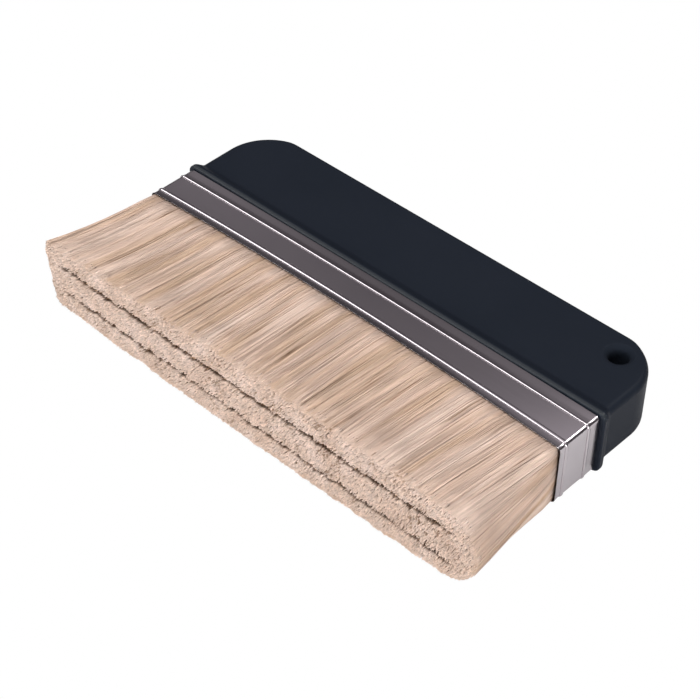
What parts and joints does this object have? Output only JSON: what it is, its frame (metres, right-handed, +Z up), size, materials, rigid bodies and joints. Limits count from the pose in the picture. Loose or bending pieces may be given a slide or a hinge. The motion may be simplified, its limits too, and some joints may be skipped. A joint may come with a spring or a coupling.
{
  "type": "flat application brush",
  "caption": "Wide flat application brush with rows of natural bristle in a beaded metal ferrule and a black handle with a hang hole.",
  "frame": {"origin": "middle of the footprint, on the surface that the brush lies on", "axes": "+X along the brush to the end with the hang hole, +Y from the bristle tips towards the handle, +Z up from the face it lies on"},
  "size_m": [0.2624, 0.1404, 0.0399],
  "materials": {
    "handle": "satin black moulded plastic",
    "ferrule": "bright plated sheet steel with rolled beads",
    "resin": "cast setting resin",
    "filler_strip": "plain softwood",
    "bristle": "natural bristle, cut square at the tips"
  },
  "bodies": {
    "brush_body": {"handle": "handle", "ferrule": "ferrule", "resin_heel": "resin", "filler_strip_upper": "filler_strip", "filler_strip_lower": "filler_strip", "bristle_root_upper": "bristle", "bristle_root_middle": "bristle", "bristle_root_lower": "bristle"},
    "upper_row": {"bristle_row_upper": "bristle"},
    "middle_row": {"bristle_row_middle": "bristle"},
    "lower_row": {"bristle_row_lower": "bristle"}
  },
  "joints": [
    {"name": "middle_row_bend", "type": "hinge", "parent": "brush_body", "child": "middle_row", "pos_m": [0, -0.01225, 0.02017], "axis": [-1, 0, 0], "range_deg": [-18, 18], "stiffness_Nm_per_rad": 0.6},
    {"name": "upper_row_bend", "type": "hinge", "parent": "brush_body", "child": "upper_row", "pos_m": [0, -0.01225, 0.03143], "axis": [-1, 0, 0], "range_deg": [-18, 18], "stiffness_Nm_per_rad": 0.6},
    {"name": "lower_row_bend", "type": "hinge", "parent": "brush_body", "child": "lower_row", "pos_m": [0, -0.01225, 0.00893], "axis": [-1, 0, 0], "range_deg": [-18, 18], "stiffness_Nm_per_rad": 0.6}
  ],
  "couplings": [
    {"joint": "upper_row_bend", "follows": "middle_row_bend", "ratio": 1},
    {"joint": "lower_row_bend", "follows": "middle_row_bend", "ratio": 1}
  ]
}
